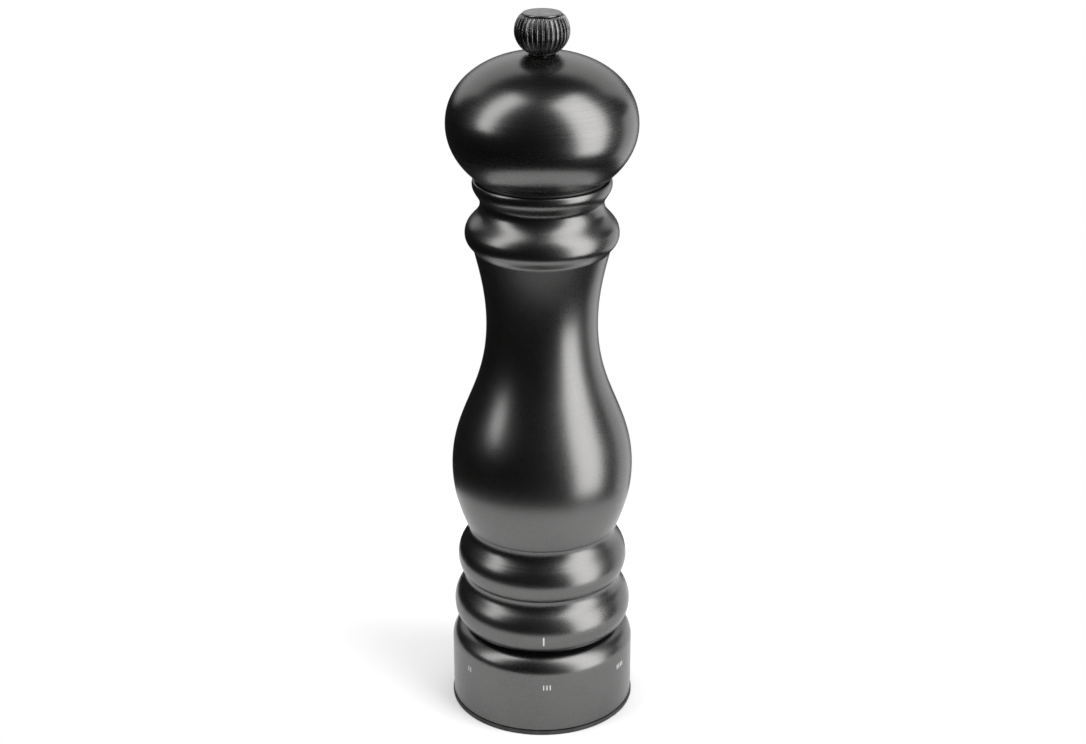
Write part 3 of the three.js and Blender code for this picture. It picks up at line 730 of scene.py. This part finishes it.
def same(a, b):
    """Whether two radii are the same, past rounding."""
    return abs(a - b) < 0.001


def opening_edge(angle, r, z):
    """The opening is wide, except at the two lands on its left and right."""
    return OPENING_WIDE if same(r, OPENING_LAND) and abs(math.sin(angle)) > 0.31 else r


def housing():
    skirt = low("mechanism_housing")
    outline = [
        (OPENING_LAND, 26.2), (20.6, 26.2), (20.6, skirt + 0.2), (20.8, skirt), (22.0, skirt),
        (22.2, skirt + 0.2), (22.2, 9.2), (21.3, 9.2), (21.3, 10.8), (22.2, 10.8), (22.2, 26.7),
        (23.1, 26.7), (23.3, 26.9), (23.3, 28.3), (24.3, 28.3), (24.3, 31.0), (22.5, 31.0),
        (22.5, 27.7), (OPENING_LAND, 27.7),
    ]
    piece = turned("housing_moulding", outline, FINE, opening_edge, sharp=30)
    slots = [block("slot", 5.6, 5.4, 0, 8.2, 21.4, angle) for angle in ARM_ANGLES]
    window = block("window", 5.6, 4.6, 13.5, 18.5, 21.4)
    holes = pegs("hole", 1.7, 25, 29, HOUSING_SCREW_CIRCLE, HOUSING_SCREW_ANGLES)
    holes += pegs("hole", GUIDE_SCREW_HOLE, 25, 29, GUIDE_SCREW_REACH, (0, 180))
    combine(piece, "DIFFERENCE", *slots, window, *holes)
    show(piece, "body", BLACK, "black_plastic", "mechanism_housing")


def holder():
    """The cup that holds the fixed burr, with a flange for the housing's screws."""
    outline = eased([
        (14.3, 8.0), (15.5, 8.0), (15.5, 25.1, 0.5), (20.3, 25.1), (20.3, 25.9), (13.0, 25.9),
        (13.0, 24.3), (14.3, 24.3),
    ], 0.2)
    piece = turned("burr_cup", outline, 180, sharp=30)
    holes = pegs("hole", 1.7, 24, 27, HOUSING_SCREW_CIRCLE, HOUSING_SCREW_ANGLES)
    combine(piece, "DIFFERENCE", *holes)
    show(piece, "body", BLACK, "black_plastic", "burr_holder")


def pepper_tube():
    bottom, top = low("body_core"), high("body_core")
    outline = [
        (14.0, bottom), (22.0, bottom), (22.2, bottom + 0.2), (22.2, 30.8), (22.0, 31.0),
        (15.8, 31.0), (15.3, 31.5), (15.3, top - 0.3), (15.1, top), (14.3, top), (14.0, top - 0.4),
    ]
    piece = turned("pepper_tube", outline, 144, sharp=30)
    bosses = pegs("boss", 3.2, 30, 40, HOUSING_SCREW_CIRCLE, HOUSING_SCREW_ANGLES)
    combine(piece, "UNION", *bosses)
    holes = pegs("hole", 1.6, 27, 38.5, HOUSING_SCREW_CIRCLE, HOUSING_SCREW_ANGLES)
    combine(piece, "DIFFERENCE", *holes)
    show(piece, "body", GREY, "grey_plastic", "body_core")


def clip():
    loop = sector(21.6, 23.4, -75, 255, 90)
    piece = plate("snap_ring", [loop], low("retaining_clip"), high("retaining_clip"), edge=0.15)
    show(piece, "body", SPRING, "spring_steel", "retaining_clip")


def cutting(depth, lean, side):
    """Spiral teeth cut into a burr: one set of deep ones, and finer ones at the lower edge. lean
    is in turns per millimetre of height, and side(radius, height) says where teeth are."""
    between = DEEP_TEETH_FULL - DEEP_TEETH_FROM

    def shape(angle, r, z):
        if not side(r, z):
            return r
        turn = angle / (2 * math.pi) + lean * (z - TEETH_FROM)
        coarse = (1 - zigzag(TEETH * turn)) ** 0.7
        fine = 1 - zigzag(TEETH * 4 * turn)
        share = min(1.0, max(0.0, (z - DEEP_TEETH_FROM) / between))
        return r + depth * (coarse * share + 0.45 * fine * (1 - share))

    return shape


def fixed_burr():
    bottom, top = low("burr_ring"), high("burr_ring")
    inner = [(11.2, bottom), (10.6, 11), (9.9, 14), (10.8, 17.5), (11.9, 21), (12.6, top)]
    outline = [(14.0, top - 0.3), (14.0, bottom + 0.3), (13.7, bottom)]
    outline += flowing(inner, 0.5) + [(13.7, top)]
    shape = cutting(0.55, 0.006, lambda r, z: r < 12.8)
    piece = turned("fixed_burr", outline, TEETH * 40, shape, sharp=25)
    show(piece, "body", HARD, "hard_steel", "burr_ring")


def turning_burr():
    side = [(10.55, 8.4), (9.9, 11.2), (9.2, 14), (8.2, 16), (7, 18.6), (6.2, 20.7)]
    outline = [(0, 6.9), (0.9, 6.95), (1.3, 7.1), (1.6, 7.6), (9.7, 7.6), (10.2, 7.8)]
    outline += flowing(side, 0.5) + [(0, 20.7)]
    shape = cutting(-0.9, -0.008, lambda r, z: r > 5.5 and z > TEETH_FROM)
    piece = turned("turning_burr", outline, TEETH * 40, shape, sharp=25)
    combine(piece, "DIFFERENCE", block("square", 6.4, 6.4, 9, 30), sharp=25)
    show(piece, "cone", HARD, "hard_steel", "burr_cone")


def cross_screw(node, body, screw, seat, tip, x, y):
    """A cross-head screw. seat is the height that its head rests at, and tip the height that its
    shank goes up or down to."""
    head, thick, shank = screw
    length = abs(tip - seat)
    outline = [
        (0, 0), (head * 0.75, 0.05), (head * 0.93, 0.25 * thick), (head, 0.6 * thick),
        (head, thick - 0.05), (head - 0.05, thick), (shank, thick), (shank, thick + length - shank),
        (0, thick + length),
    ]
    piece = turned(f"{node}_turned", outline, 48, sharp=30)
    cross = [block("slot", head * 1.1, head * 0.24, -1, thick * 0.55, angle=a) for a in (0, 90)]
    combine(piece, "DIFFERENCE", *cross)
    up = 1 if tip > seat else -1
    if up < 0:
        piece.data.transform(Matrix.Rotation(math.pi, 4, "X"))
    piece.data.transform(Matrix.Translation((x * MM, y * MM, (seat - up * thick) * MM)))
    show(piece, body, BRIGHT, "bright_steel", node)


def all_screws():
    for i, (x, y) in enumerate(on_circle(HOUSING_SCREW_CIRCLE, HOUSING_SCREW_ANGLES), 1):
        cross_screw(f"housing_screw_{i}", "body", HOUSING_SCREW, 24.8, 37.0, x, y)
    for i, x in enumerate((GUIDE_SCREW_REACH, -GUIDE_SCREW_REACH), 1):
        cross_screw(f"guide_bar_screw_{i}", "body", GUIDE_SCREW, 29.9, 25.3, x, 0)
    for i, (x, y) in enumerate(on_circle(DRIVE_SCREW_CIRCLE, ARM_ANGLES), 1):
        cross_screw(f"drive_plate_screw_{i}", "head", DRIVE_SCREW, 160.0, 168.6, x, y)


def guide():
    """A bar with a round middle, a hole for the shaft and a hole for each screw."""
    half, wide, middle = 13.2, 3.5, 6
    near = math.degrees(math.asin(wide / middle))
    outline = [(half, -wide, 1.0), (half, wide, 1.0)]
    outline += on_circle(middle, np.linspace(near, 180 - near, 25))
    outline += [(-half, wide, 1.0), (-half, -wide, 1.0)]
    outline += on_circle(middle, np.linspace(180 + near, 360 - near, 25))
    loops = [eased(outline, 0), circle(4.6)]
    loops += [circle(GUIDE_SCREW_HOLE, 24, x) for x in (GUIDE_SCREW_REACH, -GUIDE_SCREW_REACH)]
    piece = plate("guide_strip", loops, low("guide_bar"), high("guide_bar"))
    show(piece, "body", BRIGHT, "bright_steel", "guide_bar")


def rod_shape(angle, r, z):
    """Square with eased corners below the shoulder, and a right-hand thread above it."""
    if z > ROD_THREAD_FROM and r > 2.2:
        share = min(1.0, (z - ROD_THREAD_FROM) / ROD_LEAD)
        depth = (ROD_CREST - ROD_ROOT) * (1 - zigzag(z / ROD_LEAD - angle / (2 * math.pi)))
        return r - depth * share
    if same(r, SQUARE_CORNER):
        return min(r, SQUARE_HALF / max(abs(math.cos(angle)), abs(math.sin(angle))))
    return r


def shaft():
    low_end, top = low("drive_shaft"), high("drive_shaft")
    outline = [(0, low_end), (2.6, low_end), (SQUARE_CORNER, low_end + 0.6)]
    for bottom, end in ((25.6, 27.0), (29.6, 31.0)):
        outline += [(SQUARE_CORNER, bottom), (3.4, bottom), (3.4, end), (SQUARE_CORNER, end)]
    # Without rows between the ends, the shading of the ends would run along the flats.
    outline += [(SQUARE_CORNER, z) for z in np.arange(40, 199, 12.0)]
    outline += [(SQUARE_CORNER, 199.6), (2.9, 200.0), (2.2, 200.0), (2.1, 200.2), (2.1, 205.0)]
    outline += [(2.45, ROD_THREAD_FROM)]
    outline += [(ROD_CREST, z) for z in np.arange(ROD_THREAD_FROM + 0.1, top - 0.5, ROD_ROW)]
    outline += [(ROD_ROOT, top - 0.1), (1.9, top), (0, top)]
    piece = turned("square_shaft", outline, PLAIN, rod_shape, sharp=30)
    show(piece, "shaft", BRIGHT, "bright_steel", "drive_shaft")


def shaft_clips():
    for node in ("shaft_clip_lower", "shaft_clip_upper"):
        loop = sector(3.7, 6.2, -60, 240)
        piece = plate(f"{node}_ring", [loop], low(node), high(node), edge=0.1)
        show(piece, "shaft", SPRING, "spring_steel", node)


def thrust_disc():
    bottom, top = low("thrust_washer"), high("thrust_washer")
    outline = eased([(4.5, bottom), (6.2, bottom), (6.2, top), (4.5, top)], 0.15)
    show(turned("thrust_disc", outline, PLAIN), "shaft", BRASS, "brass", "thrust_washer")


def coil():
    """Round wire along a helix, thinner at both ends. It leaves the cone room to rise."""
    wire, sides, steps = SPRING_WIRE, 16, 160
    bottom, top = high("burr_cone") + CONE_RISE + wire, SPRING_TOP - wire
    vertices, faces = [], []
    for k in range(steps + 1):
        t = k / steps
        angle, z = 2 * math.pi * SPRING_TURNS * t, bottom + (top - bottom) * t
        end = wire * min(1.0, 0.7 + 6 * t, 0.7 + 6 * (1 - t))
        for i in range(sides):
            side = 2 * math.pi * i / sides
            r = SPRING_RADIUS + end * math.cos(side)
            height = z + end * math.sin(side)
            vertices.append((r * math.cos(angle) * MM, r * math.sin(angle) * MM, height * MM))
    for a in range(0, steps * sides, sides):
        b = a + sides
        for i in range(sides):
            j = (i + 1) % sides
            faces.append((a + i, b + i, b + j, a + j))
    faces.append(tuple(range(sides)))
    faces.append(tuple(range(len(vertices) - 1, len(vertices) - sides - 1, -1)))
    piece = object_from("cone_spring", vertices, faces)
    show(piece, "shaft", SPRING, "spring_steel", "burr_spring")


def lift_thread(angle, z):
    """How far a left-hand thread stands out of its root."""
    return (LIFT_CREST - LIFT_ROOT) * zigzag(z / LIFT_LEAD + angle / (2 * math.pi))


def bridge():
    """A spider with three arms, cut to the lifting thread at their tips, and a hub with a seat."""
    under, bottom, top = low("adjuster_bridge"), 4.4, high("adjuster_bridge")
    half, hub, tip = 2.4, 5.2, 26
    near = math.degrees(math.asin(half / hub))
    outline = []
    for angle in ARM_ANGLES:
        turn = Matrix.Rotation(math.radians(angle), 2)
        corners = [(hub * math.cos(math.radians(near)), -half), (tip, -half), (tip, half)]
        outline += [tuple(turn @ Vector(c)) for c in corners]
        outline += on_circle(hub, np.linspace(angle + near, angle + 120 - near, 9))[:-1]
    spider = plate("lifting_spider", [outline], bottom, top, edge=0.15)
    rows = [(LIFT_ROOT, z) for z in np.arange(bottom - 1, top + 1.01, LIFT_ROW)]
    thread = turned("thread", [(0, rows[0][1]), *rows, (0, rows[-1][1])], FINE,
                    lambda angle, r, z: r + lift_thread(angle, z) - 0.01)
    combine(spider, "INTERSECT", thread)
    outline = [(0, under), (hub - 0.3, under), (hub, under + 0.3), (hub, 5), (0, 5)]
    combine(spider, "UNION", turned("hub", outline, PLAIN))
    combine(spider, "DIFFERENCE", peg("seat", 3.3, top - 1.2, top + 1))
    show(spider, "bridge", BRIGHT, "bright_steel", "adjuster_bridge")


def pad():
    bottom, top = low("bridge_pad"), high("bridge_pad")
    outline = [(0, bottom), (2.8, bottom), (3.0, bottom + 0.2), (3.0, top - 0.25),
               (2.7, top - 0.03), (0, top)]
    show(turned("pad_disc", outline, PLAIN), "bridge", BRASS, "brass", "bridge_pad")


def ring_inside(angle, r, z):
    """The lifting thread at the bottom, and six click grooves above it."""
    if same(r, RING_THREAD_BORE):
        return r + lift_thread(angle, z)
    if same(r, RING_BORE) and CLICKS_FROM <= z <= CLICKS_TO:
        turn = math.degrees(math.remainder(angle, 2 * math.pi))
        click = min(3, max(-2, round(turn / CLICK)))
        off = math.radians(turn - click * CLICK)
        return r + math.sqrt(max(0.0, CLICK_RADIUS**2 - (off * r) ** 2))
    return r


def ring_core():
    bottom, top = low("adjuster_core"), high("adjuster_core")
    outside = reach("adjuster_core")
    thread = [(RING_THREAD_BORE, z) for z in np.arange(bottom, 8.4, LIFT_ROW)]
    outline = thread[::-1] + [
        (25.1, bottom), (25.1, 3.3), (26.5, 3.3), (26.5, bottom), (outside - 0.2, bottom),
        (outside, bottom + 0.2), (outside, SHOULDER[1]), *arc(*SHOULDER[:2], 4.6, 12, 78, 14),
        (RING_BORE + 0.2, top), (RING_BORE, top - 0.2), (RING_BORE, CLICKS_TO + 0.01),
        (RING_BORE, CLICKS_TO), (RING_BORE, CLICKS_FROM), (RING_BORE, CLICKS_FROM - 0.01),
        (RING_BORE, 10.8), (23.8, 10.8), (23.8, 8.45),
    ]
    piece = turned("ring_moulding", outline, 360, ring_inside, sharp=30)
    show(piece, "ring", BLACK, "black_plastic", "adjuster_core")


def head_filling():
    bottom, top = low("head_core"), 201.5
    seat = low("head_shell")
    outside = head_curve(1.5, seat + 0.01, high("head_core") - 0.01, 60)
    outline = [(4.9, bottom), (4.6, bottom + 0.3), (4.6, top), (3.0, top), (3.0, high("head_core"))]
    outline += outside[::-1]
    outline += [(13.9, seat), (13.4, seat - 0.5), (13.4, bottom + 0.4), (13.0, bottom)]
    piece = turned("head_filling", outline, 180, sharp=30)
    combine(piece, "DIFFERENCE", *pegs("hole", 1.3, 159, 169.6, DRIVE_SCREW_CIRCLE, ARM_ANGLES))
    show(piece, "head", GREY, "grey_plastic", "head_core")


def driver():
    """The round plate with a square hole for the shaft and three screw holes."""
    half = 3.2
    square = eased([(-half, -half), (half, -half), (half, half), (-half, half)], 0.4)
    holes = [circle(1.3, 32, x, y) for x, y in on_circle(DRIVE_SCREW_CIRCLE, ARM_ANGLES)]
    loops = [circle(11.5, 144), square, *holes]
    piece = plate("driver_plate", loops, low("drive_plate"), high("drive_plate"))
    show(piece, "head", BRIGHT, "bright_steel", "drive_plate")


def click_leaf():
    """A leaf spring behind the skirt, with a nose through the window."""
    face, leaf, nose = 20.3, 0.4, 23.3
    outline = on_circle(face, np.linspace(-28, -5.5, 20)) + [(nose, -0.35, 0.3), (nose, 0.35, 0.3)]
    outline += on_circle(face, np.linspace(5.5, 28, 20))
    outline += on_circle(face - leaf, np.linspace(28, 4, 20)) + [(nose - leaf - 0.1, 0, 0.1)]
    outline += on_circle(face - leaf, np.linspace(-4, -28, 20))
    loop = eased(outline, 0)
    piece = plate("click_leaf", [loop], low("detent_spring"), high("detent_spring"), edge=0.06)
    show(piece, "body", SPRING, "spring_steel", "detent_spring")


def mechanism():
    housing()
    holder()
    pepper_tube()
    clip()
    fixed_burr()
    turning_burr()
    all_screws()
    guide()
    shaft()
    shaft_clips()
    thrust_disc()
    coil()
    bridge()
    pad()
    ring_core()
    head_filling()
    driver()
    click_leaf()


# ---------- marks ----------


def curved_bar(width, bottom, top, angle, radius_at, steps=10):
    """Vertices and faces of a thin upright bar that follows a turned surface."""
    stands, sinks = 0.03, 0.15
    heights = np.linspace(bottom, top, steps + 1)
    half = math.degrees(width / 2 / radius_at(bottom))
    angles = np.radians(np.linspace(angle - half, angle + half, 5))
    vertices = []
    for offset in (stands, -sinks):
        for z in heights:
            r = radius_at(z) + offset
            vertices += [(r * math.cos(a) * MM, r * math.sin(a) * MM, z * MM) for a in angles]
    columns, rows = len(angles), len(heights)
    layer = columns * rows
    faces = []
    for k in range(rows - 1):
        for i in range(columns - 1):
            a = k * columns + i
            faces.append((a, a + 1, a + 1 + columns, a + columns))
            b = a + layer
            faces.append((b, b + columns, b + 1 + columns, b + 1))
    edge = list(range(columns))
    edge += [k * columns + columns - 1 for k in range(1, rows)]
    edge += [(rows - 1) * columns + i for i in range(columns - 2, -1, -1)]
    edge += [k * columns for k in range(rows - 2, 0, -1)]
    for a, b in zip(edge, edge[1:] + edge[:1]):
        faces.append((b, a, a + layer, b + layer))
    return vertices, faces


def bars(name, placed, body, width, bottom, top, radius_at):
    """One piece made of several equal bars at the given angles."""
    vertices, faces = [], []
    for angle in placed:
        v, f = curved_bar(width, bottom, top, angle, radius_at)
        faces += [tuple(i + len(vertices) for i in face) for face in f]
        vertices += v
    show(object_from(name, vertices, faces), body, PAINT, "carbon_metal")


def lower_bead_radius(z):
    r, middle, radius = LOWER_BEAD
    return r + math.sqrt(radius**2 - (z - middle) ** 2)


def marks():
    """The index bar on the body, and the tallies of one to six bars on the grind ring."""
    bars("index_mark", [FRONT + 1.0], "body", 0.45, 30.9, 33.9, lower_bead_radius)
    radius = reach("adjuster_shell")
    pitch = math.degrees(1.0 / radius)  # bars stand 1 mm apart
    front_count, offset = 3, 3.0  # the tally of three is in front, three degrees to the right
    for count in range(1, 7):
        middle = FRONT + offset + CLICK * (count - front_count)
        placed = [middle + pitch * (i - (count - 1) / 2) for i in range(count)]
        bars(f"grind_mark_{count}", placed, "ring", 0.36, 15.9, 17.6, lambda z: radius)


# ---------- studio ----------


ROOM = 1.0  # brightness of the pale room
ROOM_IN_METAL = 0.02  # the same as the metal mirrors it: past the lamps the studio is dim
TABLE_RADIUS = 0.14  # the pale round table top that the mill stands on
LAMP_TARGET = Vector((0, 0, 0.12))
# Each lamp's azimuth from the front to the right and its elevation in degrees, then its distance,
# width and height in metres, and its brightness.
SOFTBOXES = {
    "softbox_right": (60, 22, 0.9, 0.7, 2.0, 4.8),
    "softbox_left": (-71, 40, 0.9, 0.34, 1.1, 4.2),
    "softbox_behind": (180, 34, 1.2, 2.6, 1.1, 1.0),
    "softbox_back_right": (130, -12, 1.2, 0.9, 0.9, 1.3),
}
CAMERA_PLACE = (0.00026, -0.55356, 0.34188)
CAMERA_TILT = 67.259  # degrees up from looking straight down
CAMERA_LENS = 66.07  # millimetres, on a 36 mm sensor


def floor():
    """A plain pale round table top."""
    edge = [(x, y, 0.0) for x, y in circle(TABLE_RADIUS)]
    sheet = object_from("studio_floor", edge, [tuple(range(PLAIN))])
    shader = Shader("studio_paper")
    fibre = shader.noise(shader.place(), 1.5)
    colour = shader.colours(fibre, grey(0.63), grey(0.65))
    sheet.data.materials.append(shader.finish(Base_Color=colour, Roughness=0.9))


def softbox(name, azimuth, elevation, distance, width, height, brightness):
    """A rectangular lamp that faces the mill and looks equally bright at any size."""
    a, e = math.radians(azimuth), math.radians(elevation)
    away = Vector((math.sin(a) * math.cos(e), -math.cos(a) * math.cos(e), math.sin(e)))
    data = bpy.data.lights.new(name, "AREA")
    data.shape = "RECTANGLE"
    data.size, data.size_y = width, height
    data.energy = brightness * math.pi * width * height
    lamp = bpy.data.objects.new(name, data)
    lamp.location = LAMP_TARGET + away * distance
    lamp.rotation_euler = (-away).to_track_quat("-Z", "Y").to_euler()
    lamp.visible_camera = False
    bpy.context.scene.collection.objects.link(lamp)


def surroundings():
    """A pale room that is dimmer in the metal than to the eye."""
    world = bpy.data.worlds.new("studio_room")
    bpy.context.scene.world = world
    world.use_nodes = True
    nodes = Nodes(world.node_tree)
    is_glossy_ray = nodes.add("LightPath", 3)
    strength = nodes.add("Mix", Factor=is_glossy_ray, A=ROOM, B=ROOM_IN_METAL)
    background = world.node_tree.nodes["Background"]
    nodes.put(background.inputs["Strength"], strength)
    nodes.put(background.inputs["Color"], (1, 1, 1, 1))
    # Sampled as a lamp, the room would be bright in the metal too.
    world.cycles.sampling_method = "NONE"


def camera():
    data = bpy.data.cameras.new("camera")
    data.sensor_width, data.lens = 36.0, CAMERA_LENS
    data.clip_start, data.clip_end = 0.01, 50.0
    made = bpy.data.objects.new("camera", data)
    made.location = CAMERA_PLACE
    made.rotation_euler = (math.radians(CAMERA_TILT), 0, 0)
    bpy.context.scene.collection.objects.link(made)
    bpy.context.scene.camera = made


def studio():
    floor()
    surroundings()
    for name, settings in SOFTBOXES.items():
        softbox(name, *settings)
    bpy.context.scene.view_settings.view_transform = "Standard"


camera()
body_skin()
ring_skin()
foot()
head_skin()
mouth()
knob_ribs()
knob_disc()
washer_disc()
knob_insert()
mechanism()
marks()
studio()
